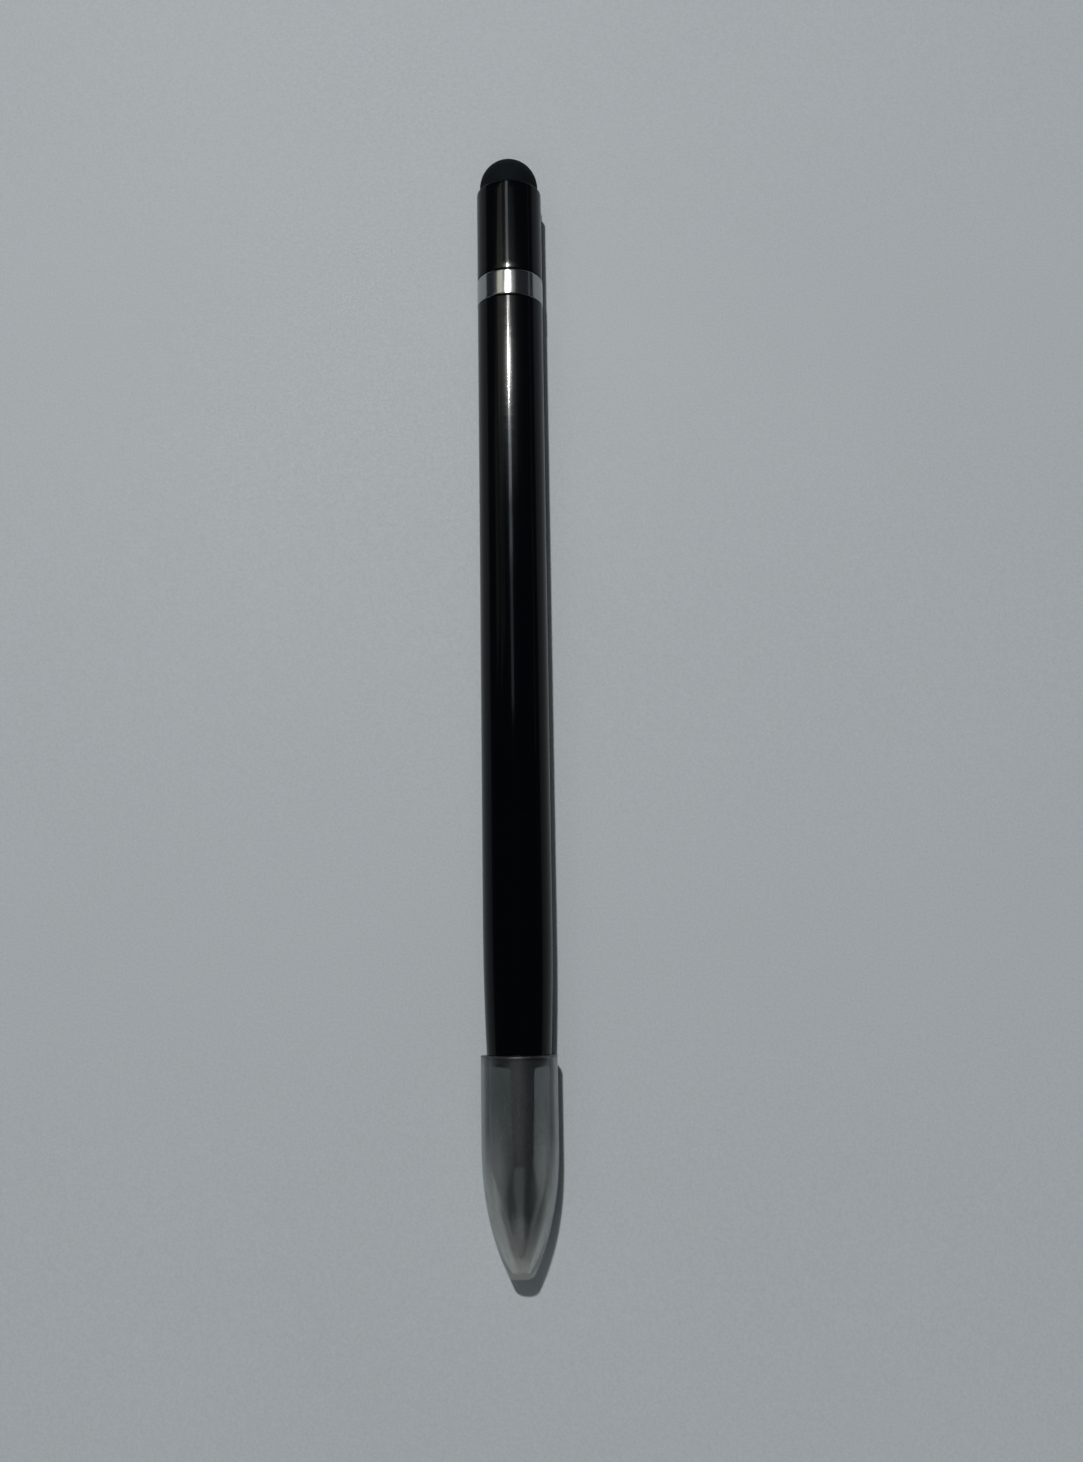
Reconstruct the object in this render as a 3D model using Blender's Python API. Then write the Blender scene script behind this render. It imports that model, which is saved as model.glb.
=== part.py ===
# An inkless pencil with its cap on. It lies along Y, nib towards -Y, eraser towards +Y.
# Eight turned pieces share one axis. Stations run along that axis from the barrel's front face,
# positive towards the eraser, and radii are measured from the axis.
import math

import bmesh
import bpy
from mathutils import Matrix, Vector

MM = 0.001

# Barrel: a straight moulded tube, drawn in towards the nib
BARREL_DIAMETER = 9.0 * MM
BARREL_LENGTH = 102.3 * MM
BARREL_BORE = 6.4 * MM
FRONT_DIAMETER = 8.18 * MM
TAPER_LENGTH = 17.5 * MM
TAPER_FULLNESS = 2.0
BARREL_EDGE = 0.12 * MM

# Nib holder: a collar, three finger flats, a cone and a shank for the barrel's bore
NIB_COLLAR = 0.6 * MM
NIB_BODY = 12.6 * MM
NIB_FRONT_DIAMETER = 7.9 * MM
NIB_CONE = 8.7 * MM
NIB_MOUTH_DIAMETER = 2.55 * MM
FLAT_COUNT = 3
FLAT_DEPTH = 0.98 * MM
FLAT_SLOPE = math.radians(1.1)
FLAT_TURN = math.radians(7.0)
SHANK_LENGTH = 9.0 * MM
SHANK_LEAD = 0.5 * MM
SHANK_CORE_DIAMETER = 3.2 * MM
CORE_WALL = 2.0 * MM

# Writing tip: a blunt point on a shank
TIP_DIAMETER = 2.1 * MM
TIP_LENGTH = 2.75 * MM
TIP_POINT_RADIUS = 0.38 * MM
TIP_SHANK_DIAMETER = 1.6 * MM
TIP_SHANK_LENGTH = 9.0 * MM

# Cap: a straight wall, then an ogive to a flat nose
CAP_WALL = 0.74 * MM
CAP_OVERLAP = 0.65 * MM
CAP_LEAD_DEPTH = 1.15 * MM
CAP_LEAD_STEP = 0.1 * MM
CAP_RIM_RADIUS = 0.2 * MM
CAP_STRAIGHT_PAST_NIB_BODY = -3.55 * MM
OGIVE_FULLNESS = 2.5
NOSE_DIAMETER = 3.0 * MM
NOSE_WALL = 0.9 * MM
NOSE_EDGE = 0.28 * MM
NOSE_ROOM = 1.5 * MM

# Trim ring and the plug that carries it
RING_LENGTH = 3.62 * MM
RING_WALL = 0.7 * MM
RING_PROUD = 0.05 * MM
RING_EDGE = 0.15 * MM
PLUG_FRONT = 8.0 * MM
PLUG_REAR = 4.0 * MM
PLUG_BORE = 3.0 * MM
PLUG_LEAD = 0.4 * MM

# End sleeve and eraser
SLEEVE_LENGTH = 13.18 * MM
SLEEVE_BORE = 6.4 * MM
SLEEVE_EDGE = 0.25 * MM
SLEEVE_SEAM_EDGE = 0.12 * MM
ERASER_DIAMETER = 8.1 * MM
ERASER_NECK = 0.91 * MM
ERASER_EDGE = 0.25 * MM
STEM_LEAD = 0.5 * MM
STEM_END_ROOM = 1.2 * MM

# Clearances
SEAM_GAP = 0.1 * MM
PRESS_GAP = 0.1 * MM
THREAD_GAP = 0.15 * MM
CAP_GAP = 0.08 * MM

# Faceting: every turned piece has the same sides, with one facet facing down
SIDES = 24
CURVE_STEPS = 8
EDGE_STEPS = 3
MERGE_DISTANCE = 1e-6
SMOOTH_ANGLE = math.radians(35.0)

AXIS = Vector((0.0, 1.0, 0.0))

# Radii that neighbours share
barrel_radius = BARREL_DIAMETER / 2
front_radius = FRONT_DIAMETER / 2
barrel_bore_radius = BARREL_BORE / 2
sleeve_bore_radius = SLEEVE_BORE / 2
tip_shank_radius = TIP_SHANK_DIAMETER / 2
cap_bore_radius = front_radius + CAP_GAP
cap_radius = cap_bore_radius + CAP_WALL
ring_radius = barrel_radius + RING_PROUD
ring_bore_radius = ring_radius - RING_WALL

# Stations that neighbours share
collar_station = -SEAM_GAP
cone_station = collar_station - NIB_BODY
mouth_station = cone_station - NIB_CONE
point_station = mouth_station - TIP_LENGTH
tip_seat_station = mouth_station + TIP_SHANK_LENGTH
nose_inner_station = point_station - NOSE_ROOM
nose_station = nose_inner_station - NOSE_WALL
cap_mouth_station = CAP_OVERLAP
ring_station = BARREL_LENGTH + SEAM_GAP
sleeve_station = ring_station + RING_LENGTH + SEAM_GAP
sleeve_end_station = sleeve_station + SLEEVE_LENGTH
eraser_station = sleeve_end_station + SEAM_GAP
dome_station = eraser_station + ERASER_NECK
apex_station = dome_station + ERASER_DIAMETER / 2

# The cap's lowest facet rests on the ground, and the middle of the length is over the origin
axis_height = cap_radius * math.cos(math.pi / SIDES)
front_face_y = -(nose_station + apex_station) / 2


def clear_scene():
    for thing in list(bpy.data.objects):
        bpy.data.objects.remove(thing, do_unlink=True)


def finish(name, colour, roughness, metallic=0.0, alpha=1.0):
    material = bpy.data.materials.new(name)
    material.use_nodes = True
    shader = material.node_tree.nodes["Principled BSDF"]
    shader.inputs["Base Color"].default_value = (*colour, 1.0)
    shader.inputs["Roughness"].default_value = roughness
    shader.inputs["Metallic"].default_value = metallic
    shader.inputs["Alpha"].default_value = alpha
    return material


def rounded(corner_station, corner_radius, size, along, outward):
    # A quarter round on an outer edge. along is the way from the edge into the piece, and
    # outward tells whether the round runs from the end face out to the side or back again.
    centre_station = corner_station + along * size
    centre_radius = corner_radius - size
    turns = [math.pi / 2 * step / EDGE_STEPS for step in range(EDGE_STEPS + 1)]
    if not outward:
        turns.reverse()
    return [(centre_station - along * size * math.cos(turn), centre_radius + size * math.sin(turn))
            for turn in turns]


def drawn_in(start, start_radius, end, end_radius, fullness):
    # A power curve that leaves the straight wall at start without a kink and reaches end.
    # A fullness of 2 is a parabola, and more keeps the wall wide for longer.
    points = []
    for step in range(CURVE_STEPS + 1):
        share = step / CURVE_STEPS
        station = start + (end - start) * share
        radius = start_radius + (end_radius - start_radius) * share ** fullness
        points.append((station, radius))
    return points


def turned(name, outline, datum, material, parent):
    # Spins an outline of (station, radius) points about the axis. An outline that starts and
    # ends on the axis stays open there, and any other closes on itself.
    mesh = bpy.data.meshes.new(name)
    shape = bmesh.new()
    half_side = Matrix.Rotation(math.pi / SIDES, 4, AXIS)
    points = [shape.verts.new(half_side @ Vector((0.0, station - datum, -radius)))
              for station, radius in outline]
    pairs = list(zip(points, points[1:]))
    if outline[0][1] > 0:
        pairs.append((points[-1], points[0]))
    edges = [shape.edges.new(pair) for pair in pairs]
    bmesh.ops.spin(shape, geom=points + edges, cent=(0.0, 0.0, 0.0), axis=AXIS,
                   angle=2 * math.pi, steps=SIDES, use_merge=True)
    bmesh.ops.remove_doubles(shape, verts=shape.verts, dist=MERGE_DISTANCE)
    bmesh.ops.recalc_face_normals(shape, faces=shape.faces)
    shape.to_mesh(mesh)
    shape.free()
    mesh.shade_smooth()
    mesh.set_sharp_from_angle(angle=SMOOTH_ANGLE)
    piece = bpy.data.objects.new(name, mesh)
    mesh.materials.append(material)
    piece.parent = parent
    piece.location = AXIS * datum
    bpy.context.scene.collection.objects.link(piece)
    return piece


def make_barrel(parent, material):
    taper = drawn_in(TAPER_LENGTH, barrel_radius, 0.0, front_radius, TAPER_FULLNESS)
    taper.reverse()
    taper[0] = (BARREL_EDGE, taper[0][1])
    outline = [(0.0, barrel_bore_radius), (0.0, front_radius - BARREL_EDGE)]
    outline += taper
    outline += [(BARREL_LENGTH - BARREL_EDGE, barrel_radius)]
    outline += [(BARREL_LENGTH, barrel_radius - BARREL_EDGE), (BARREL_LENGTH, barrel_bore_radius)]
    return turned("barrel", outline, 0.0, material, parent)


def flat_cutter(turn, parent):
    # A block whose inner face is one finger flat, leaning in towards the tip.
    reach = NIB_BODY + NIB_CONE + TIP_LENGTH
    width = FRONT_DIAMETER
    mesh = bpy.data.meshes.new("flat_cutter")
    shape = bmesh.new()
    bmesh.ops.create_cube(shape, size=1.0)
    shape.transform(Matrix.Translation((0.0, -0.5, 0.5)))
    shape.transform(Matrix.Diagonal((width, reach, width, 1.0)))
    shape.transform(Matrix.Rotation(FLAT_SLOPE, 4, "X"))
    shape.transform(Matrix.Translation((0.0, -NIB_COLLAR, front_radius - FLAT_DEPTH)))
    shape.transform(Matrix.Rotation(turn, 4, AXIS))
    shape.to_mesh(mesh)
    shape.free()
    cutter = bpy.data.objects.new("flat_cutter", mesh)
    cutter.parent = parent
    cutter.hide_render = True
    cutter.display_type = "WIRE"
    bpy.context.scene.collection.objects.link(cutter)
    return cutter


def make_nib_holder(parent, material):
    shank_radius = barrel_bore_radius - THREAD_GAP
    shank_end = SHANK_LENGTH
    core_radius = SHANK_CORE_DIAMETER / 2
    core_end = tip_seat_station + CORE_WALL
    seat_radius = tip_shank_radius + PRESS_GAP
    outline = [
        (core_end, 0.0),
        (core_end, core_radius),
        (shank_end, core_radius),
        (shank_end, shank_radius - SHANK_LEAD),
        (shank_end - SHANK_LEAD, shank_radius),
        (collar_station, shank_radius),
        (collar_station, front_radius),
        (cone_station, NIB_FRONT_DIAMETER / 2),
        (mouth_station, NIB_MOUTH_DIAMETER / 2),
        (mouth_station, seat_radius),
        (tip_seat_station, seat_radius),
        (tip_seat_station, 0.0),
    ]
    piece = turned("nib_holder", outline, collar_station, material, parent)
    for index in range(FLAT_COUNT):
        turn = FLAT_TURN + 2 * math.pi * (index + 0.5) / FLAT_COUNT
        cut = piece.modifiers.new(f"flat_{index + 1}", "BOOLEAN")
        cut.operation = "DIFFERENCE"
        cut.solver = "EXACT"
        cut.object = flat_cutter(turn, piece)
    return piece


def make_writing_tip(parent, material):
    tip_radius = TIP_DIAMETER / 2
    ball_station = point_station + TIP_POINT_RADIUS
    outline = [(point_station, 0.0)]
    for step in range(1, EDGE_STEPS + 1):
        turn = math.pi / 2 * step / EDGE_STEPS
        outline.append((ball_station - TIP_POINT_RADIUS * math.cos(turn), TIP_POINT_RADIUS * math.sin(turn)))
    outline += [
        (mouth_station - SEAM_GAP, tip_radius),
        (mouth_station - SEAM_GAP, tip_shank_radius),
        (tip_seat_station - SEAM_GAP, tip_shank_radius),
        (tip_seat_station - SEAM_GAP, 0.0),
    ]
    return turned("writing_tip", outline, mouth_station, material, parent)


def make_tip_cap(parent, material):
    straight_end = cone_station - CAP_STRAIGHT_PAST_NIB_BODY
    nose_radius = NOSE_DIAMETER / 2
    outer = drawn_in(straight_end, cap_radius, nose_station + NOSE_EDGE, nose_radius, OGIVE_FULLNESS)
    inner_radius = nose_radius - CAP_WALL
    inner = drawn_in(straight_end, cap_bore_radius, nose_inner_station, inner_radius, OGIVE_FULLNESS)
    inner.reverse()
    lead_radius = cap_bore_radius + CAP_LEAD_STEP
    lead_station = cap_mouth_station - CAP_LEAD_DEPTH
    outline = [(nose_inner_station, 0.0)]
    outline += inner
    outline += [
        (lead_station - CAP_LEAD_STEP, cap_bore_radius),
        (lead_station, lead_radius),
        (cap_mouth_station, lead_radius),
    ]
    outline += rounded(cap_mouth_station, cap_radius, CAP_RIM_RADIUS, -1.0, True)
    outline += outer
    outline += [(nose_station, nose_radius - NOSE_EDGE), (nose_station, 0.0)]
    return turned("tip_cap", outline, nose_station, material, parent)


def make_trim_ring(parent, material):
    ring_end = ring_station + RING_LENGTH
    outline = [(ring_station, ring_bore_radius)]
    outline += rounded(ring_station, ring_radius, RING_EDGE, 1.0, True)
    outline += rounded(ring_end, ring_radius, RING_EDGE, -1.0, False)
    outline += [(ring_end, ring_bore_radius)]
    return turned("trim_ring", outline, ring_station, material, parent)


def make_tail_plug(parent, material):
    collar_radius = ring_bore_radius - PRESS_GAP
    front_spigot = barrel_bore_radius - PRESS_GAP
    rear_spigot = sleeve_bore_radius - PRESS_GAP
    bore = PLUG_BORE / 2
    front_end = BARREL_LENGTH - PLUG_FRONT
    rear_end = sleeve_station + PLUG_REAR
    collar_end = ring_station + RING_LENGTH
    outline = [
        (front_end, bore),
        (front_end, front_spigot - PLUG_LEAD),
        (front_end + PLUG_LEAD, front_spigot),
        (ring_station, front_spigot),
        (ring_station, collar_radius),
        (collar_end, collar_radius),
        (collar_end, rear_spigot),
        (rear_end - PLUG_LEAD, rear_spigot),
        (rear_end, rear_spigot - PLUG_LEAD),
        (rear_end, bore),
    ]
    return turned("tail_plug", outline, ring_station, material, parent)


def make_end_sleeve(parent, material):
    outline = [
        (sleeve_station, sleeve_bore_radius),
        (sleeve_station, barrel_radius - SLEEVE_SEAM_EDGE),
        (sleeve_station + SLEEVE_SEAM_EDGE, barrel_radius),
    ]
    outline += rounded(sleeve_end_station, barrel_radius, SLEEVE_EDGE, -1.0, False)
    outline += [(sleeve_end_station, sleeve_bore_radius)]
    return turned("end_sleeve", outline, sleeve_station, material, parent)


def make_eraser(parent, material):
    head_radius = ERASER_DIAMETER / 2
    stem_radius = sleeve_bore_radius - PRESS_GAP
    stem_end = sleeve_station + PLUG_REAR + STEM_END_ROOM
    outline = [
        (stem_end, 0.0),
        (stem_end, stem_radius - STEM_LEAD),
        (stem_end + STEM_LEAD, stem_radius),
        (eraser_station, stem_radius),
    ]
    outline += rounded(eraser_station, head_radius, ERASER_EDGE, 1.0, True)
    for step in range(CURVE_STEPS + 1):
        turn = math.pi / 2 * step / CURVE_STEPS
        radius = 0.0 if step == CURVE_STEPS else head_radius * math.cos(turn)
        outline.append((dome_station + head_radius * math.sin(turn), radius))
    return turned("eraser", outline, eraser_station, material, parent)


def make_pencil():
    gloss_black = finish("gloss_black", (0.006, 0.006, 0.007), 0.12)
    satin_black = finish("satin_black", (0.012, 0.012, 0.013), 0.45)
    rubber_black = finish("rubber_black", (0.016, 0.016, 0.017), 0.85)
    bright_chrome = finish("bright_chrome", (0.86, 0.87, 0.86), 0.06, metallic=1.0)
    graphite = finish("graphite", (0.09, 0.09, 0.095), 0.38, metallic=0.7)
    frosted = finish("frosted", (0.72, 0.75, 0.78), 0.4, alpha=0.45)

    axis = bpy.data.objects.new("pencil_axis", None)
    axis.location = (0.0, front_face_y, axis_height)
    bpy.context.scene.collection.objects.link(axis)

    make_barrel(axis, gloss_black)
    make_nib_holder(axis, satin_black)
    make_writing_tip(axis, graphite)
    make_tip_cap(axis, frosted)
    make_trim_ring(axis, bright_chrome)
    make_tail_plug(axis, satin_black)
    make_end_sleeve(axis, gloss_black)
    make_eraser(axis, rubber_black)


clear_scene()
make_pencil()
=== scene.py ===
# A capped inkless pencil lying on a pale table: eight turned pieces round one axis along Y.
# Stations run along Y, radii are measured from the axis, and a turn of 0 points straight up.
import math

import bpy
import numpy as np
from mathutils import Matrix, Vector


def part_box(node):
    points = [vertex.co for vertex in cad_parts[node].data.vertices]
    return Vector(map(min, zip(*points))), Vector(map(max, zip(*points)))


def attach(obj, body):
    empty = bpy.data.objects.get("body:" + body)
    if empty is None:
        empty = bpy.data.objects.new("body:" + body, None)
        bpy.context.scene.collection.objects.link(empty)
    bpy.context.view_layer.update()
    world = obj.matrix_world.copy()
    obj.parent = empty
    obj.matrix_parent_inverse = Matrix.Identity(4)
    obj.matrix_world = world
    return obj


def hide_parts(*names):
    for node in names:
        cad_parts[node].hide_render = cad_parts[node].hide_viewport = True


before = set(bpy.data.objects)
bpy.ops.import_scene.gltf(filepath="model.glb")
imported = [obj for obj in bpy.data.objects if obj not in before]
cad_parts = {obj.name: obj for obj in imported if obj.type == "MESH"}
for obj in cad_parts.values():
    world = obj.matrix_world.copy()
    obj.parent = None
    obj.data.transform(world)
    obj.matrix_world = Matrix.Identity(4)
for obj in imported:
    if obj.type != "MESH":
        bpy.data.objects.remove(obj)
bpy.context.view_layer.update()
mm = 0.001
sameRadius = 1e-7  # radii closer than this are the same one

# Meshing: points on a rounded corner, and the angle in degrees past which an edge stays sharp
meshing = {"bendPoints": 7, "sharpAngle": 38}


# Sizes read from the frame
def nodeReach(node):
    # station and distance from the axis of every corner of a CAD node
    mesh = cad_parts[node].data
    corners = np.empty(len(mesh.vertices) * 3)
    mesh.vertices.foreach_get("co", corners)
    corners = corners.reshape(-1, 3)
    return corners[:, 1], np.hypot(corners[:, 0], corners[:, 2] - axisHeight)


def nodeSpan(node):
    station, reach = nodeReach(node)
    return station.min(), station.max(), reach.max()


def nodeBore(node):
    return nodeReach(node)[1].min()


capLow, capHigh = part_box("tip_cap")
axisHeight = (capLow[2] + capHigh[2]) / 2
noseStation, capMouth, capRadius = nodeSpan("tip_cap")
barrelFront, barrelBack, barrelRadius = nodeSpan("barrel")
ringFront, ringBack, ringRadius = nodeSpan("trim_ring")
sleeveFront, sleeveBack, sleeveRadius = nodeSpan("end_sleeve")
print("frame: axis", round(axisHeight / mm, 3), "mm up, barrel", round(2 * barrelRadius / mm, 2), "mm across")


# Surfaces
def roundedOutline(corners, closed):
    # Corners are (station, radius, rounding, step). A corner becomes a parabola that starts and ends its
    # rounding away from it, and the straight run after it is split evenly into steps no longer than its step.
    rows = np.array(corners, dtype=float)
    spots, rounding, steps = rows[:, :2], rows[:, 2:3], rows[:, 3]
    toNext = np.roll(spots, -1, axis=0) - spots
    toNext /= np.maximum(np.linalg.norm(toNext, axis=1, keepdims=True), 1e-12)  # no division by nothing
    leave = spots + toNext * rounding
    arrive = spots - np.roll(toNext, 1, axis=0) * rounding
    share = np.linspace(0, 1, meshing["bendPoints"])[:, None]
    parts = []
    for index in range(len(rows)):
        if rounding[index, 0] > 0:
            bend = arrive[index] * (1 - share) ** 2 + leave[index] * share ** 2
            parts.append(bend + spots[index] * 2 * share * (1 - share))
        else:
            parts.append(spots[index:index + 1])
        if index + 1 < len(rows) or closed:
            after = (index + 1) % len(rows)
            run = arrive[after] - leave[index]
            count = max(1, math.ceil(np.linalg.norm(run) / steps[index]))
            parts.append(leave[index] + run * (np.arange(1, count) / count)[:, None])
    return np.concatenate(parts)


def powerCurve(start, startRadius, end, endRadius, fullness, count, step):
    # radius = start radius + (end radius - start radius) * share ^ fullness, as corners with no rounding
    share = np.linspace(0, 1, count)
    station = start + (end - start) * share
    radius = startRadius + (endRadius - startRadius) * share ** fullness
    return [(a, b, 0.0, step) for a, b in zip(station, radius)]


def arcCurve(station, radius, size, first, last, count, step):
    # a circle's arc round (station, radius): station + size * sin(turn), radius + size * cos(turn)
    turn = np.radians(np.linspace(first, last, count))
    return [(a, b, 0.0, step) for a, b in zip(station + size * np.sin(turn), radius + size * np.cos(turn))]


def turnedPiece(name, outline, sides, closed, shaper=None, inside=None):
    # x = r sin(turn), y = station, z = axis height + r cos(turn), on a grid of stations and turns. The
    # outline runs towards +Y along its outer side. An open one starts and ends on the axis, where a fan
    # closes it. inside gives each outline point's share of inner wall, kept as an attribute for the material.
    turn = np.linspace(0, 2 * np.pi, sides, endpoint=False)[None, :]
    station = np.repeat(outline[:, :1], sides, axis=1)
    radius = np.repeat(outline[:, 1:], sides, axis=1)
    if shaper:
        radius = shaper(station, turn, radius)
    points = np.stack([radius * np.sin(turn), station, axisHeight + radius * np.cos(turn)], axis=-1)
    if closed:
        here = np.arange(points.shape[0] * sides).reshape(-1, sides)
        there = np.roll(here, -1, axis=0)
        points = points.reshape(-1, 3)
        fans = []
    else:
        poles = points[[0, -1], 0]
        rings = points[1:-1].reshape(-1, 3)
        ids = np.arange(len(rings)).reshape(-1, sides)
        here, there = ids[:-1], ids[1:]
        points = np.concatenate([rings, poles])
        front, back = np.full(sides, len(rings)), np.full(sides, len(rings) + 1)
        fans = np.stack([front, np.roll(ids[0], -1), ids[0]], axis=-1).tolist()
        fans += np.stack([ids[-1], np.roll(ids[-1], -1), back], axis=-1).tolist()
    walls = np.stack([here, np.roll(here, -1, axis=1), np.roll(there, -1, axis=1), there], axis=-1)
    mesh = bpy.data.meshes.new(name)
    mesh.from_pydata(points, [], walls.reshape(-1, 4).tolist() + fans)
    mesh.shade_smooth()
    mesh.set_sharp_from_angle(angle=math.radians(meshing["sharpAngle"]))
    if inside is not None:
        share = np.concatenate([np.repeat(inside[1:-1], sides), inside[[0, -1]]])
        mesh.attributes.new("inside", "FLOAT", "POINT").data.foreach_set("value", share)
    piece = bpy.data.objects.new(name, mesh)
    bpy.context.scene.collection.objects.link(piece)
    return piece


def place(piece, material, body, node):
    piece.data.materials.append(material)
    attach(piece, body)
    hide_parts(node)
    print("piece:", piece.name, len(piece.data.polygons), "faces")


def smoothLess(a, b, soft):
    # the lesser of two surfaces, blended by a parabola where they are within soft of each other
    blend = np.clip(0.5 + 0.5 * (b - a) / soft, 0, 1)
    return b * (1 - blend) + a * blend - soft * blend * (1 - blend)


threadForm = {"pitch": 0.8 * mm, "flank": 2.4, "root": 0.5}  # a greater root is flat for longer


def threadWave(station, turn):
    # a helix from the barrel's front: a triangle wave of (station - front) / pitch - turn / 2 pi, times
    # flank, less root, cut off at 0 in the roots and 1 on the crests
    phase = np.mod((station - barrelFront) / threadForm["pitch"] - turn / (2 * np.pi), 1.0)
    return np.clip(threadForm["flank"] * (1 - np.abs(2 * phase - 1)) - threadForm["root"], 0, 1)


# Material nodes
def startMaterial(name):
    material = bpy.data.materials.new(name)
    material.use_nodes = True
    return material, material.node_tree, material.node_tree.nodes["Principled BSDF"]


def setSockets(tree, node, values):
    # an output is linked, and anything else becomes the socket's own value
    for key, value in values.items():
        socket = node.inputs[key]
        if isinstance(value, bpy.types.NodeSocket):
            tree.links.new(value, socket)
        elif socket.type == "RGBA":
            socket.default_value = (*value, 1.0)
        else:
            socket.default_value = value


def addNode(tree, kind, inputs=None, **settings):
    node = tree.nodes.new(kind)
    for key, value in settings.items():
        setattr(node, key, value)
    setSockets(tree, node, inputs or {})
    return node


def noise(tree, size, detail=3.0, stretch=(1.0, 1.0, 1.0)):
    # noise of about that grain size in metres, stretched along each axis
    coords = addNode(tree, "ShaderNodeTexCoord").outputs["Object"]
    scale = [1 / (size * part) for part in stretch]
    mapped = addNode(tree, "ShaderNodeMapping", {"Vector": coords, "Scale": scale})
    grain = addNode(tree, "ShaderNodeTexNoise", {"Vector": mapped.outputs[0], "Scale": 1.0, "Detail": detail})
    return grain.outputs["Fac"]


def spread(tree, value, low, high, fromLow=0.35, fromHigh=0.65):
    # low to high while value runs from fromLow to fromHigh, which are about the ends of a noise's range
    node = addNode(tree, "ShaderNodeMapRange", {"Value": value, "From Min": fromLow, "From Max": fromHigh,
                                                "To Min": low, "To Max": high})
    return node.outputs[0]


def combine(tree, operation, first, second):
    return addNode(tree, "ShaderNodeMath", {0: first, 1: second}, operation=operation).outputs[0]


def mix(tree, share, first, second):
    # the first number where share is 0, and the second where it is 1
    return addNode(tree, "ShaderNodeMix", {"Factor": share, 2: first, 3: second}).outputs[0]


def tint(tree, share, dark, light):
    # the dark colour where share is 0, and the light one where it is 1
    node = addNode(tree, "ShaderNodeMix", {"Factor": share}, data_type="RGBA")
    first, second = [index for index, socket in enumerate(node.inputs) if socket.type == "RGBA"]
    setSockets(tree, node, {first: dark, second: light})
    return next(socket for socket in node.outputs if socket.type == "RGBA")


def relief(tree, height, distance, strength=1.0):
    node = addNode(tree, "ShaderNodeBump", {"Height": height, "Distance": distance, "Strength": strength})
    return node.outputs[0]


# Polished black plastic: a clear gloss over a weak one that lengthwise polishing marks smear sideways, and
# faint moulding ripples that break its streaks up
glossFinish = {
    "haze": 6 * mm,
    "hazeStretch": (1.0, 3.0, 1.0),
    "ripple": 1.3 * mm,
    "rippleDepth": 0.006 * mm,
    "dark": (0.0004, 0.0014, 0.0020),
    "light": (0.0010, 0.0022, 0.0030),
    "roughness": (0.15, 0.18),
    "smear": 0.95,
    "gloss": 0.05,
    "coat": 0.38,
    "coatBlur": 0.07,
    "coatIndex": 1.38,
}


def makeGlossBlack():
    f = glossFinish
    material, tree, shader = startMaterial("glossBlackPlastic")
    haze = noise(tree, f["haze"], 4.0, f["hazeStretch"])
    ripple = noise(tree, f["ripple"], 2.0)
    setSockets(tree, shader, {
        "Base Color": tint(tree, haze, f["dark"], f["light"]),
        "Roughness": spread(tree, haze, *f["roughness"]),
        "Anisotropic": f["smear"],
        "Tangent": addNode(tree, "ShaderNodeTangent", direction_type="RADIAL", axis="Y").outputs[0],
        "Specular IOR Level": f["gloss"],
        "Coat Weight": f["coat"],
        "Coat Roughness": f["coatBlur"],
        "Coat IOR": f["coatIndex"],
        "Normal": relief(tree, ripple, f["rippleDepth"]),
    })
    return material


# Moulded black plastic with a fine spark grain and a cool gloss
satinFinish = {
    "grain": 0.12 * mm,
    "grainDepth": 0.004 * mm,
    "cloud": 3 * mm,
    "dark": (0.009, 0.011, 0.012),
    "light": (0.014, 0.016, 0.018),
    "roughness": (0.15, 0.2),
    "index": 1.7,
    "shine": (0.84, 0.96, 1.0),
    "coat": 0.65,
    "coatBlur": 0.15,
    "coatTint": (0.86, 0.97, 1.0),
}


def makeSatinBlack():
    f = satinFinish
    material, tree, shader = startMaterial("satinBlackPlastic")
    grain = noise(tree, f["grain"], 4.0)
    cloud = noise(tree, f["cloud"], 3.0)
    setSockets(tree, shader, {
        "Base Color": tint(tree, cloud, f["dark"], f["light"]),
        "Roughness": spread(tree, cloud, *f["roughness"]),
        "IOR": f["index"],
        "Coat Weight": f["coat"],
        "Coat Roughness": f["coatBlur"],
        "Coat Tint": f["coatTint"],
        "Specular Tint": f["shine"],
        "Normal": relief(tree, grain, f["grainDepth"], 0.4),
    })
    return material


# Matte black rubber with a fine grain and a little pale dust in it
rubberFinish = {
    "grain": 0.10 * mm,
    "grainDepth": 0.03 * mm,
    "dust": 0.05 * mm,
    "dustRange": (0.55, 0.8),
    "dark": (0.0012, 0.0020, 0.0024),
    "light": (0.008, 0.0095, 0.0105),
    "roughness": (0.72, 0.9),
    "gloss": 0.20,
    "shine": (0.72, 0.90, 1.0),
}


def makeRubber():
    f = rubberFinish
    material, tree, shader = startMaterial("matteBlackRubber")
    grain = noise(tree, f["grain"], 5.0)
    dust = spread(tree, noise(tree, f["dust"], 2.0), 0.0, 1.0, *f["dustRange"])
    setSockets(tree, shader, {
        "Base Color": tint(tree, dust, f["dark"], f["light"]),
        "Roughness": spread(tree, grain, *f["roughness"]),
        "Specular IOR Level": f["gloss"],
        "Specular Tint": f["shine"],
        "Normal": relief(tree, grain, f["grainDepth"], 0.7),
    })
    return material


# Mirror chrome with a trace of turned polish lines
chromeFinish = {
    "lines": 0.04 * mm,
    "lineStretch": (40.0, 1.0, 40.0),
    "lineDepth": 0.001 * mm,
    "cloud": 1.5 * mm,
    "dark": (0.375, 0.380, 0.380),
    "light": (0.405, 0.410, 0.408),
    "roughness": (0.15, 0.18),
}


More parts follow.
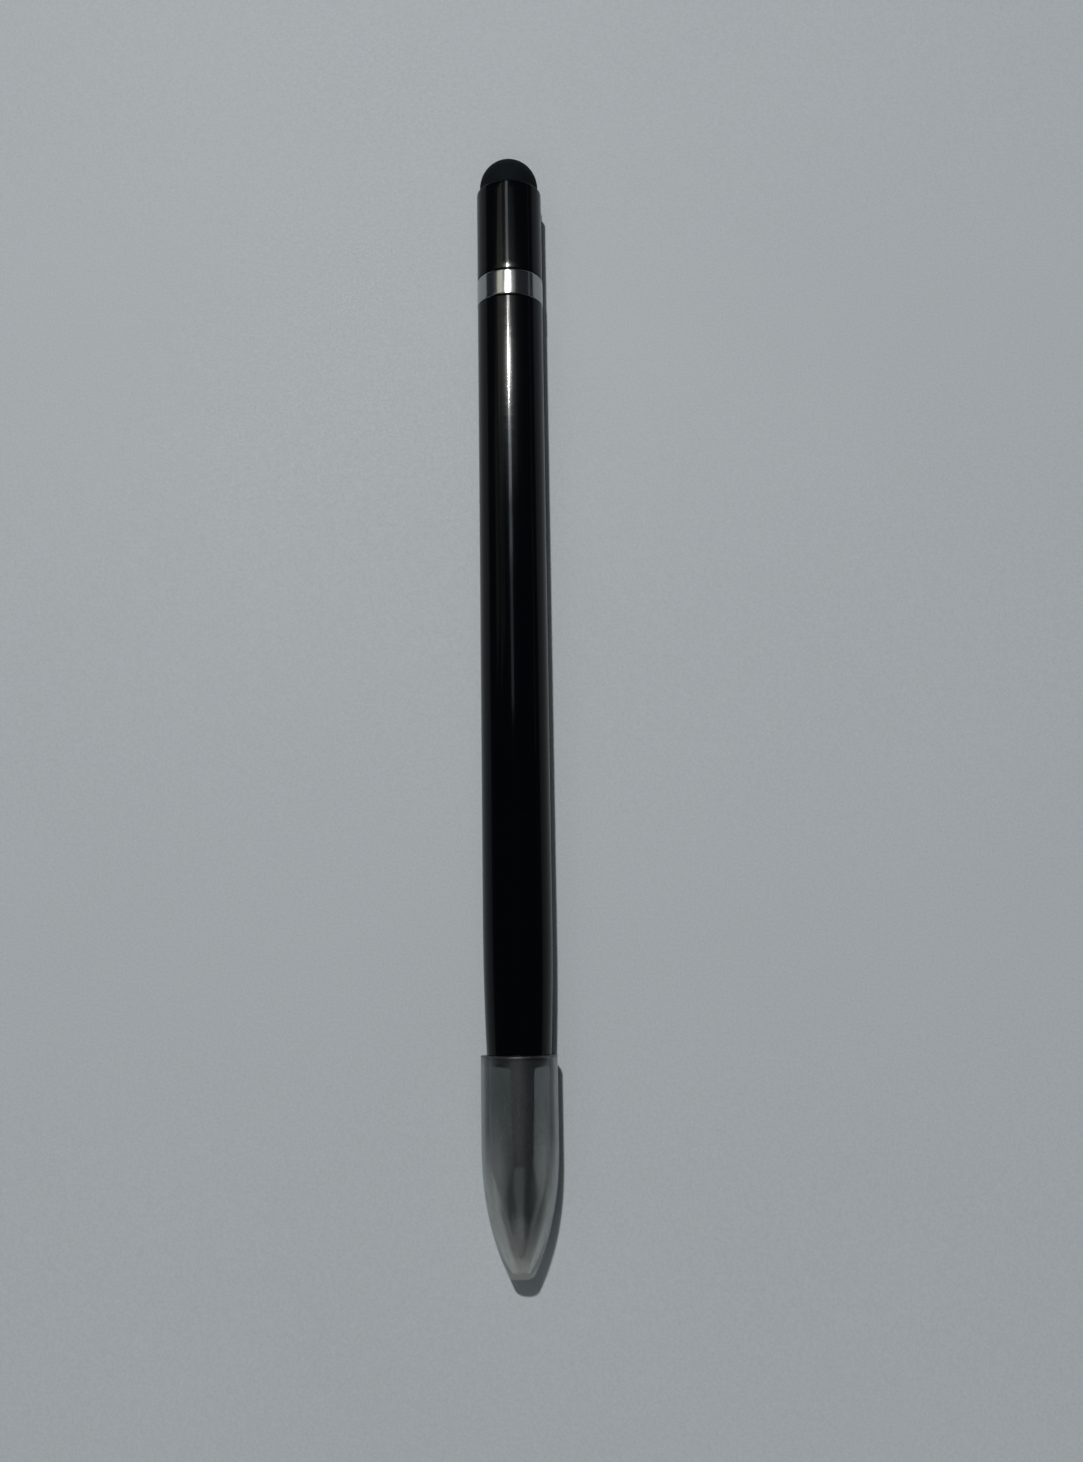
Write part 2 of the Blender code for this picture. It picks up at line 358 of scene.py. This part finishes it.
def makeChrome():
    f = chromeFinish
    material, tree, shader = startMaterial("mirrorChrome")
    lines = noise(tree, f["lines"], 2.0, f["lineStretch"])
    cloud = noise(tree, f["cloud"], 3.0)
    setSockets(tree, shader, {
        "Base Color": tint(tree, cloud, f["dark"], f["light"]),
        "Metallic": 1.0,
        "Roughness": spread(tree, cloud, *f["roughness"]),
        "Normal": relief(tree, lines, f["lineDepth"], 0.3),
    })
    return material


# Dark grey graphite alloy, burnished by writing
graphiteFinish = {
    "grain": 0.08 * mm,
    "lines": 0.03 * mm,
    "lineStretch": (20.0, 1.0, 20.0),
    "lineDepth": 0.006 * mm,
    "dark": (0.022, 0.022, 0.024),
    "light": (0.05, 0.05, 0.053),
    "metal": 0.7,
    "roughness": (0.3, 0.5),
}


def makeGraphite():
    f = graphiteFinish
    material, tree, shader = startMaterial("graphiteAlloy")
    grain = noise(tree, f["grain"], 4.0)
    lines = noise(tree, f["lines"], 2.0, f["lineStretch"])
    setSockets(tree, shader, {
        "Base Color": tint(tree, grain, f["dark"], f["light"]),
        "Metallic": f["metal"],
        "Roughness": spread(tree, grain, *f["roughness"]),
        "Normal": relief(tree, lines, f["lineDepth"], 0.5),
    })
    return material


# Spark-frosted clear plastic: a fine matte grain with polished specks between, and fewer of them towards
# the nose. It is murky and hazier where its wall is seen edge on, and darker there: partly the murk's longer
# path, partly painted shade, a dark colour put into the wall's edge. Ramps are distances from the nose.
frostFinish = {
    "grain": 0.035 * mm,
    "cloud": 2 * mm,
    "dark": (0.965, 0.970, 0.955),
    "light": (0.975, 0.980, 0.965),
    "index": 1.49,
    "outerShine": (0.75, 0.90, 1.0),
    "innerShine": (0.2, 0.2, 0.2),
    "sheen": 0.47,
    "sheenBlur": 0.43,
    "murk": 190.0,
    "murkColour": (0.20, 0.27, 0.22),
    # roughness of the matte grain, the specks, the inner wall and the rim at the mouth
    "matte": 0.9,
    "polished": 0.14,
    "inner": 0.18,
    "rimMatte": 0.42,
    "rimFrost": 0.25 * mm,
    # the grain is polished where its noise is above these levels
    "noseLevel": 0.40,
    "mouthLevel": 0.37,
    "levelSoft": 0.02,
    "speckRamp": (5 * mm, 19 * mm),
    # share of light let through, and the hazes taken off it at the nose and beside the nib
    "noseClear": 0.89,
    "mouthClear": 0.996,
    "clearRamp": (1 * mm, 8 * mm),
    "noseHaze": 0.11,
    "noseRamp": (0.3 * mm, 3.2 * mm),
    "sideHaze": 0.085,
    "sideFacing": (0.05, 0.16),
    "sideStart": (8 * mm, 13 * mm),
    "sideEnd": (14 * mm, 21 * mm),
    # the painted shade at the wall's edge, a dark colour put in where it is seen edge on: where it comes in
    # and eases off as the wall turns away, and how it fades along the cap
    "edgeShadeColour": (0.04, 0.04, 0.04),
    "edgeIn": (0.22, 0.40),
    "edgeOut": (0.52, 0.60),
    "edgeRim": 0.75,
    "edgeNose": 0.45,
    "edgeStart": (3 * mm, 7 * mm),
    "edgeAlong": (8 * mm, 18 * mm),
}


def makeFrosted():
    f = frostFinish
    material, tree, shader = startMaterial("frostedPlastic")
    grain = noise(tree, f["grain"], 2.0)
    cloud = noise(tree, f["cloud"], 3.0)
    inside = addNode(tree, "ShaderNodeAttribute", attribute_name="inside").outputs["Fac"]
    facing = addNode(tree, "ShaderNodeLayerWeight", {"Blend": 0.5}).outputs["Facing"]
    spot = addNode(tree, "ShaderNodeTexCoord").outputs["Object"]
    station = addNode(tree, "ShaderNodeSeparateXYZ", {0: spot}).outputs["Y"]
    fromNose = combine(tree, "SUBTRACT", station, noseStation)

    level = spread(tree, fromNose, f["noseLevel"], f["mouthLevel"], *f["speckRamp"])
    speck = combine(tree, "SUBTRACT", grain, level)
    frost = spread(tree, speck, f["matte"], f["polished"], -f["levelSoft"], f["levelSoft"])
    atRim = spread(tree, station, 0.0, 1.0, capMouth - f["rimFrost"], capMouth - 0.8 * f["rimFrost"])
    roughness = mix(tree, atRim, mix(tree, inside, frost, f["inner"]), f["rimMatte"])

    # painted shade: the outer wall's colour goes dark where it is seen edge on, none at the nose's end and
    # weaker towards the nose
    edge = spread(tree, facing, 0.0, 1.0, *f["edgeIn"])
    for fade in (spread(tree, facing, 1.0, f["edgeRim"], *f["edgeOut"]),
                 combine(tree, "SUBTRACT", 1.0, inside),
                 spread(tree, fromNose, f["edgeNose"], 1.0, *f["edgeAlong"]),
                 spread(tree, fromNose, 0.0, 1.0, *f["edgeStart"])):
        edge = combine(tree, "MULTIPLY", edge, fade)

    sideHaze = spread(tree, facing, 0.0, f["sideHaze"], *f["sideFacing"])
    for fade in (spread(tree, fromNose, 0.0, 1.0, *f["sideStart"]),
                 spread(tree, fromNose, 1.0, 0.0, *f["sideEnd"])):
        sideHaze = combine(tree, "MULTIPLY", sideHaze, fade)
    noseHaze = spread(tree, fromNose, f["noseHaze"], 0.0, *f["noseRamp"])
    clear = spread(tree, fromNose, f["noseClear"], f["mouthClear"], *f["clearRamp"])
    clear = combine(tree, "SUBTRACT", combine(tree, "SUBTRACT", clear, sideHaze), noseHaze)

    setSockets(tree, shader, {
        # the base colour carries the painted edge shade
        "Base Color": tint(tree, edge, tint(tree, cloud, f["dark"], f["light"]), f["edgeShadeColour"]),
        "Roughness": roughness,
        "IOR": f["index"],
        "Specular Tint": tint(tree, inside, f["outerShine"], f["innerShine"]),
        "Transmission Weight": clear,
        "Coat Weight": f["sheen"],
        "Coat Roughness": f["sheenBlur"],
    })
    murk = addNode(tree, "ShaderNodeVolumeAbsorption", {"Color": f["murkColour"], "Density": f["murk"]})
    tree.links.new(murk.outputs[0], tree.nodes["Material Output"].inputs["Volume"])
    return material


# Pale table with a fine paper grain
tableFinish = {
    "grain": 0.4 * mm,
    "grainDepth": 0.01 * mm,
    "cloud": 40 * mm,
    "paper": 0.3 * mm,
    "paperRange": (0.3, 0.7),
    "paperShare": 0.7,
    "dark": (0.530, 0.576, 0.602),
    "light": (0.628, 0.680, 0.708),
    "roughness": (0.5, 0.6),
    "gloss": 0.3,
}


def makeTable():
    f = tableFinish
    material, tree, shader = startMaterial("paleTable")
    grain = noise(tree, f["grain"], 4.0)
    cloud = noise(tree, f["cloud"], 3.0)
    paper = spread(tree, noise(tree, f["paper"], 6.0), 0.0, 1.0, *f["paperRange"])
    setSockets(tree, shader, {
        "Base Color": tint(tree, mix(tree, f["paperShare"], cloud, paper), f["dark"], f["light"]),
        "Roughness": spread(tree, grain, *f["roughness"]),
        "Specular IOR Level": f["gloss"],
        "Normal": relief(tree, grain, f["grainDepth"], 0.2),
    })
    return material


glossBlack = makeGlossBlack()
satinBlack = makeSatinBlack()
rubber = makeRubber()
chrome = makeChrome()
graphite = makeGraphite()
frosted = makeFrosted()
print("materials made")

# Camera, at the photograph's angle: nearly straight down, leaning a little towards the eraser
cameraShape = {
    "place": (2.88 * mm, -39.96 * mm, 198.56 * mm),
    "pitch": 9.844,
    "yaw": -1.028,
    "roll": 0.176,
    "lens": 36.554,
    "sensor": 36.0,
    "clip": 5 * mm,
}
lens = bpy.data.cameras.new("tableCamera")
lens.lens = cameraShape["lens"]
lens.sensor_width = cameraShape["sensor"]
lens.clip_start = cameraShape["clip"]
camera = bpy.data.objects.new("tableCamera", lens)
turnDown = Matrix.Rotation(math.radians(cameraShape["pitch"]), 4, "X")
turnRound = Matrix.Rotation(math.radians(cameraShape["yaw"]), 4, "Z")
turnLevel = Matrix.Rotation(math.radians(cameraShape["roll"]), 4, "Z")
camera.matrix_world = Matrix.Translation(cameraShape["place"]) @ turnRound @ turnDown @ turnLevel
bpy.context.scene.collection.objects.link(camera)
bpy.context.scene.camera = camera

# Table, tilted a fifth of a degree so that it meets the cap's wall and the trim ring
tableShape = {"side": 4.0, "gap": 0.004 * mm}
frontFoot = Vector((0.0, capMouth, axisHeight - capRadius - tableShape["gap"]))
backFoot = Vector((0.0, ringBack, axisHeight - ringRadius - tableShape["gap"]))
halfAlong = (backFoot - frontFoot).normalized() * tableShape["side"] / 2
halfAcross = Vector((1.0, 0.0, 0.0)) * tableShape["side"] / 2
tableCorners = [frontFoot + halfAcross * a + halfAlong * b for a, b in ((-1, -1), (1, -1), (1, 1), (-1, 1))]
tableMesh = bpy.data.meshes.new("paleTable")
tableMesh.from_pydata(tableCorners, [], [(0, 1, 2, 3)])
table = bpy.data.objects.new("paleTable", tableMesh)
tableMesh.materials.append(makeTable())
bpy.context.scene.collection.objects.link(table)

# Light: a small lamp above and beyond the eraser, weak panels round it that show in the gloss, and a dim
# room. A panel's brightness is its radiance, where 1 is white. The ones marked glossOnly light nothing matte.
lampShape = {
    "place": (-0.25, 0.920, 1.976), "size": (0.08, 0.08), "power": 23.1, "colour": (1.0, 0.985, 0.97)}
panelShapes = {
    "sidePanel": {
        "place": (-0.715, 0.68, 1.0), "size": (0.55, 0.24), "brightness": 1.0, "colour": (1.0, 0.98, 0.82)},
    "midPanel": {
        "place": (-0.715, 0.50, 1.0), "size": (0.55, 0.12), "brightness": 0.40, "colour": (1.0, 0.98, 0.86)},
    "outerPanel": {
        "place": (-1.43, 0.60, 1.0), "size": (0.60, 0.40), "brightness": 0.32, "colour": (0.95, 1.0, 0.80)},
    "slitPanel": {
        "place": (1.26, 0.60, 0.4), "size": (0.10, 0.80), "brightness": 0.55, "colour": (1.0, 1.0, 0.92)},
    "lowPanel": {
        "place": (-0.76, 0.36, 1.0), "size": (0.50, 0.16), "brightness": 0.20, "colour": (1.0, 0.98, 0.86)},
    "lampGlow": {
        "place": (0.31, 0.81, 1.6), "size": (0.52, 0.40), "brightness": 0.27, "colour": (1.0, 0.99, 0.95)},
    "lampTip": {
        "place": (-0.20, 1.015, 1.976), "size": (0.30, 0.010), "brightness": 200.0,
        "colour": (1.0, 0.99, 0.97), "glossOnly": True},
    "lampBody": {
        "place": (-0.16, 0.918, 1.97), "size": (0.46, 0.065), "brightness": 45.0,
        "colour": (1.0, 0.99, 0.97), "glossOnly": True},
    "farStrip": {
        "place": (-0.27, 1.28, 2.0), "size": (0.30, 0.52), "brightness": 5.5,
        "colour": (0.84, 0.93, 1.0), "glossOnly": True},
    "nearStrip": {
        "place": (-0.14, 0.612, 1.5), "size": (0.26, 0.155), "brightness": 9.0, "colour": (0.82, 0.92, 1.0)},
    "midStrip": {
        "place": (-0.14, 0.488, 1.5), "size": (0.26, 0.055), "brightness": 4.3, "colour": (0.82, 0.92, 1.0)},
    "tailStrip": {
        "place": (-0.14, 0.368, 1.5), "size": (0.22, 0.175), "brightness": 1.4, "colour": (0.82, 0.92, 1.0)},
    "windowPanel": {
        "place": (-0.25, -1.4, 1.5), "size": (1.5, 0.9), "brightness": 0.75, "colour": (1.0, 1.0, 0.96)},
}
roomLight = (0.026, 0.031, 0.037)


def addLight(name, form, shape, power):
    lamp = bpy.data.lights.new(name, "AREA")
    lamp.shape = form
    lamp.size, lamp.size_y = shape["size"]
    lamp.energy = power
    lamp.color = shape["colour"]
    thing = bpy.data.objects.new(name, lamp)
    thing.location = shape["place"]
    if shape.get("glossOnly"):
        thing.visible_diffuse = thing.visible_transmission = False
    bpy.context.scene.collection.objects.link(thing)
    return thing


keyLamp = addLight("keyLamp", "DISK", lampShape, lampShape["power"])
keyLamp.rotation_euler = (-Vector(lampShape["place"])).to_track_quat("-Z", "Y").to_euler()
for name, shape in panelShapes.items():
    width, depth = shape["size"]
    addLight(name, "RECTANGLE", shape, math.pi * shape["brightness"] * width * depth)
world = bpy.data.worlds.new("dimRoom")
world.use_nodes = True
world.node_tree.nodes["Background"].inputs["Color"].default_value = (*roomLight, 1.0)
bpy.context.scene.world = world
bpy.context.scene.view_settings.view_transform = "Standard"
print("camera, table and light set")

# Barrel: a tube drawn in towards the nib, with a thread cut into the front of its bore
barrelShape = {
    "frontRadius": 4.09 * mm,
    "taper": 17.5 * mm,
    "taperFullness": 2.0,
    "taperPoints": 40,
    "edge": 0.12 * mm,
    "endLoop": 0.2 * mm,  # an extra loop that keeps the shading straight up to the ring
    "threadLength": 9.6 * mm,
    "threadDepth": 0.28 * mm,
    "sides": 256,
    "step": 2 * mm,
    "threadSteps": 10,
}


def makeBarrel():
    s = barrelShape
    bore = nodeBore("barrel")
    edge, step, pitch = s["edge"], s["step"], threadForm["pitch"]
    threadEnd = barrelFront + s["threadLength"]
    taper = powerCurve(barrelFront + s["taper"], barrelRadius, barrelFront, s["frontRadius"],
                       s["taperFullness"], s["taperPoints"], step)
    corners = [(threadEnd, bore, 0.0, pitch / s["threadSteps"]), (barrelFront, bore, edge, step)]
    corners += [(barrelFront, s["frontRadius"], edge, step)] + taper[-2::-1]
    corners += [(barrelBack - s["endLoop"], barrelRadius, 0.0, step)]
    corners += [(barrelBack, barrelRadius, edge, step), (barrelBack, bore, edge, step)]

    def cutThread(station, turn, radius):
        # radius = bore + thread wave * depth in the front of the bore, running out over its last pitch
        inBore = (np.abs(radius - bore) < sameRadius) & (station < threadEnd)
        runOut = np.clip((threadEnd - station) / pitch, 0, 1)
        return radius + np.where(inBore, threadWave(station, turn) * runOut * s["threadDepth"], 0)

    piece = turnedPiece("barrelTube", roundedOutline(corners, True), s["sides"], True, cutThread)
    place(piece, glossBlack, "barrel", "barrel")


makeBarrel()

# Trim ring: a bright band, a hair proud of the barrel, with soft edges
ringShape = {"edge": 0.15 * mm, "boreEdge": 0.05 * mm, "sides": 256, "step": 0.2 * mm}


def makeRing():
    s = ringShape
    bore = nodeBore("trim_ring")
    corners = [(ringFront, bore, s["boreEdge"], s["step"]), (ringFront, ringRadius, s["edge"], s["step"])]
    corners += [(ringBack, ringRadius, s["edge"], s["step"]), (ringBack, bore, s["boreEdge"], s["step"])]
    piece = turnedPiece("trimBand", roundedOutline(corners, True), s["sides"], True)
    place(piece, chrome, "barrel", "trim_ring")


makeRing()

# Tail plug: the core that joins barrel, ring and sleeve, with crush ribs on both spigots
plugShape = {
    "gap": 0.1 * mm,
    "lead": 0.4 * mm,
    "edge": 0.1 * mm,
    "ribs": 8,
    "ribHeight": 0.1 * mm,
    "ribSharp": 6.0,
    "sides": 192,
    "step": 0.8 * mm,
}


def makePlug():
    s = plugShape
    front, back, collar = nodeSpan("tail_plug")
    bore = nodeBore("tail_plug")
    spigot = nodeBore("barrel") - s["gap"]
    lead, edge, step = s["lead"], s["edge"], s["step"]
    corners = [(front, bore, edge, step), (front, spigot - lead, edge, step)]
    corners += [(front + lead, spigot, edge, step), (ringFront, spigot, 0.0, step)]
    corners += [(ringFront, collar, edge, step), (ringBack, collar, edge, step)]
    corners += [(ringBack, spigot, 0.0, step), (back - lead, spigot, edge, step)]
    corners += [(back, spigot - lead, edge, step), (back, bore, edge, step)]

    def crushRibs(station, turn, radius):
        # radius = spigot - height * (1 - rib), where rib = (half + half cos(ribs * turn)) ^ sharpness
        onSpigot = np.abs(radius - spigot) < sameRadius
        rib = (0.5 + 0.5 * np.cos(s["ribs"] * turn)) ** s["ribSharp"]
        return radius - np.where(onSpigot, (1 - rib) * s["ribHeight"], 0)

    piece = turnedPiece("tailCore", roundedOutline(corners, True), s["sides"], True, crushRibs)
    place(piece, satinBlack, "barrel", "tail_plug")


makePlug()

# End sleeve: a short gloss tube with a soft outer edge round the eraser
sleeveShape = {
    "seamEdge": 0.12 * mm,
    "endEdge": 0.25 * mm,
    "endPoints": 12,
    "mouthEdge": 0.15 * mm,
    "sides": 256,
    "step": 1 * mm,
}


def makeSleeve():
    s = sleeveShape
    bore = nodeBore("end_sleeve")
    step, end = s["step"], s["endEdge"]
    corners = [(sleeveFront, bore, s["mouthEdge"], step), (sleeveFront, sleeveRadius, s["seamEdge"], step)]
    corners += arcCurve(sleeveBack - end, sleeveRadius - end, end, 0, 90, s["endPoints"], step)
    corners += [(sleeveBack, bore, s["mouthEdge"], step)]
    piece = turnedPiece("sleeveTube", roundedOutline(corners, True), s["sides"], True)
    place(piece, glossBlack, "barrel", "end_sleeve")


makeSleeve()

# Eraser: a rubber dome on a stem
eraserShape = {
    "neck": 0.91 * mm,
    "edge": 0.25 * mm,
    "domePoints": 60,
    "stemGap": 0.1 * mm,
    "stemLead": 0.5 * mm,
    "stemEdge": 0.1 * mm,
    "seatEdge": 0.05 * mm,
    "sides": 256,
    "step": 0.4 * mm,
}


def makeEraser():
    s = eraserShape
    front, apex, radius = nodeSpan("eraser")
    stem = nodeBore("end_sleeve") - s["stemGap"]
    dome = apex - radius
    seat = dome - s["neck"]
    step = s["step"]
    corners = [(front, 0.0, 0.0, step), (front, stem - s["stemLead"], s["stemEdge"], step)]
    corners += [(front + s["stemLead"], stem, s["stemEdge"], step), (seat, stem, s["seatEdge"], step)]
    corners += [(seat, radius, s["edge"], step)]
    corners += arcCurve(dome, 0.0, radius, 0, 90, s["domePoints"], step)
    corners[-1] = (apex, 0.0, 0.0, step)
    piece = turnedPiece("eraserDome", roundedOutline(corners, False), s["sides"], False)
    place(piece, rubber, "eraser", "eraser")


makeEraser()

# Nib holder: a collar, three finger flats, a cone and a threaded shank
nibShape = {
    "gap": 0.1 * mm,
    "collar": 0.6 * mm,
    "body": 12.6 * mm,
    "frontRadius": 3.95 * mm,
    "frontEdge": 0.3 * mm,
    "mouthRadius": 1.275 * mm,
    "cone": 8.7 * mm,
    "seatRadius": 0.9 * mm,
    "seatDepth": 9.0 * mm,
    "seatEdge": 0.03 * mm,
    "flats": 3,
    "flatDepth": 0.98 * mm,
    "flatSlope": 1.1,
    "flatTurn": 7.0,
    "flatSoft": 0.12 * mm,
    "shoulder": 0.35 * mm,
    "shankRadius": 3.05 * mm,
    "shankLength": 9.0 * mm,
    "coreRadius": 1.6 * mm,
    "coreWall": 2.0 * mm,
    "edge": 0.1 * mm,
    "threadDepth": 0.3 * mm,
    "leadDepth": 0.6,  # of the thread's depth, at the shank's end
    "sides": 320,
    "step": 0.25 * mm,
    "collarStep": 0.03 * mm,
    "boreStep": 2 * mm,
    "threadSteps": 9,
}


def makeNib():
    s = nibShape
    collar = barrelFront - s["gap"]
    shoulder = collar - s["collar"]
    cone = collar - s["body"]
    mouth = cone - s["cone"]
    seatEnd = mouth + s["seatDepth"]
    coreEnd = seatEnd + s["coreWall"]
    shankEnd = barrelFront + s["shankLength"]
    seat, shank, core = s["seatRadius"], s["shankRadius"], s["coreRadius"]
    rim, edge, pitch = barrelShape["frontRadius"], s["edge"], threadForm["pitch"]
    step, fine, coarse = s["step"], s["collarStep"], s["boreStep"]
    outerRadius = rim + (s["frontRadius"] - rim) * (collar - shoulder) / (collar - cone)
    corners = [(seatEnd, 0.0, 0.0, step), (seatEnd, seat, 0.0, coarse), (mouth, seat, s["seatEdge"], step)]
    corners += [(mouth, s["mouthRadius"], edge, step), (cone, s["frontRadius"], s["frontEdge"], step)]
    corners += [(shoulder - s["shoulder"], outerRadius, 0.0, fine), (shoulder, outerRadius, 0.0, fine)]
    corners += [(collar, rim, edge, step), (collar, shank, 0.0, pitch / s["threadSteps"])]
    corners += [(shankEnd, shank, 0.0, step), (shankEnd, core, edge, coarse)]
    corners += [(coreEnd, core, edge, step), (coreEnd, 0.0, 0.0, step)]

    def cutFlats(station, turn, radius):
        # A flat's radius = its distance from the axis / cos(turn from its middle). The distance falls with
        # the flat's slope, and rises to the collar in a quarter circle. The shank's radius loses its
        # thread's depth.
        outside = (radius >= s["mouthRadius"] - edge) & (station < shoulder)
        distance = rim - s["flatDepth"] - math.tan(math.radians(s["flatSlope"])) * (shoulder - station)
        rise = np.clip((shoulder - station) / s["shoulder"], 0, 1)
        distance = distance + s["flatDepth"] * (1 - np.sqrt(1 - (1 - rise) ** 2))
        part = 2 * np.pi / s["flats"]
        off = np.mod(turn - math.radians(s["flatTurn"]), part) - part / 2
        shaped = np.where(outside, smoothLess(radius, distance / np.cos(off), s["flatSoft"]), radius)
        onShank = (np.abs(radius - shank) < sameRadius) & (station > barrelFront)
        fade = np.clip((station - barrelFront) / pitch, 0, 1)
        lead = np.clip((shankEnd - station) / pitch, 0, 1)
        depth = s["threadDepth"] * ((1 - threadWave(station, turn)) * fade + (1 - lead) * s["leadDepth"])
        return shaped - np.where(onShank, np.minimum(depth, s["threadDepth"]), 0)

    piece = turnedPiece("nibGrip", roundedOutline(corners, False), s["sides"], False, cutFlats)
    place(piece, satinBlack, "nib", "nib_holder")


makeNib()

# Writing tip: a blunt graphite alloy point on a shank
tipShape = {
    "pointRadius": 0.38 * mm,
    "pointTurn": -8,  # degrees, where the point's ball meets the cone
    "pointPoints": 16,
    "radius": 1.05 * mm,
    "length": 2.65 * mm,
    "edge": 0.06 * mm,
    "shankRadius": 0.8 * mm,
    "shankEdge": 0.1 * mm,
    "sides": 160,
    "step": 0.1 * mm,
}


def makeTip():
    s = tipShape
    point, back, _ = nodeSpan("writing_tip")
    base = point + s["length"]
    ball, shank, step = s["pointRadius"], s["shankRadius"], s["step"]
    corners = arcCurve(point + ball, 0.0, ball, -90, s["pointTurn"], s["pointPoints"], step)
    corners[0] = (point, 0.0, 0.0, step)
    corners += [(base, s["radius"], s["edge"], step), (base, shank, 0.0, step)]
    corners += [(back, shank, s["shankEdge"], step), (back, 0.0, 0.0, step)]
    piece = turnedPiece("nibPoint", roundedOutline(corners, False), s["sides"], False)
    place(piece, graphite, "nib", "writing_tip")


makeTip()

# Cap: a straight wall, then an ogive to a flat nose, hollow inside
capShape = {
    "wall": 0.74 * mm,
    "straight": 9.8 * mm,
    "fullness": 2.5,
    "ogivePoints": 60,
    "noseRadius": 1.5 * mm,
    "noseEdge": 0.28 * mm,
    "noseWall": 0.9 * mm,
    "innerEdge": 0.15 * mm,
    "rim": 0.2 * mm,
    "rimInner": 0.08 * mm,
    "leadStep": 0.1 * mm,
    "leadDepth": 1.15 * mm,
    "leadSoft": 0.4 * mm,
    "sides": 256,
    "step": 0.4 * mm,
}


def makeCap():
    s = capShape
    bore = capRadius - s["wall"]
    lead = bore + s["leadStep"]
    straightEnd = capMouth - s["straight"]
    innerNose = noseStation + s["noseWall"]
    innerRadius = s["noseRadius"] - s["wall"]
    full, points, step = s["fullness"], s["ogivePoints"], s["step"]
    outer = powerCurve(straightEnd, capRadius, noseStation, s["noseRadius"], full, points, step)[::-1]
    inner = powerCurve(straightEnd, bore, innerNose, innerRadius, full, points, step)
    corners = [(noseStation, 0.0, 0.0, step), (noseStation, s["noseRadius"], s["noseEdge"], step)] + outer[2:]
    corners += [(capMouth, capRadius, s["rim"], step), (capMouth, lead, s["rimInner"], step)]
    corners += [(capMouth - s["leadDepth"] - s["leadStep"], bore, s["leadSoft"], step)]
    corners += inner[:-1] + [(innerNose, innerRadius, s["innerEdge"], step), (innerNose, 0.0, 0.0, step)]
    outline = roundedOutline(corners, False)
    inside = (np.arange(len(outline)) > np.argmax(outline[:, 0])).astype(float)
    piece = turnedPiece("capShell", outline, s["sides"], False, None, inside)
    place(piece, frosted, "cap", "tip_cap")


makeCap()
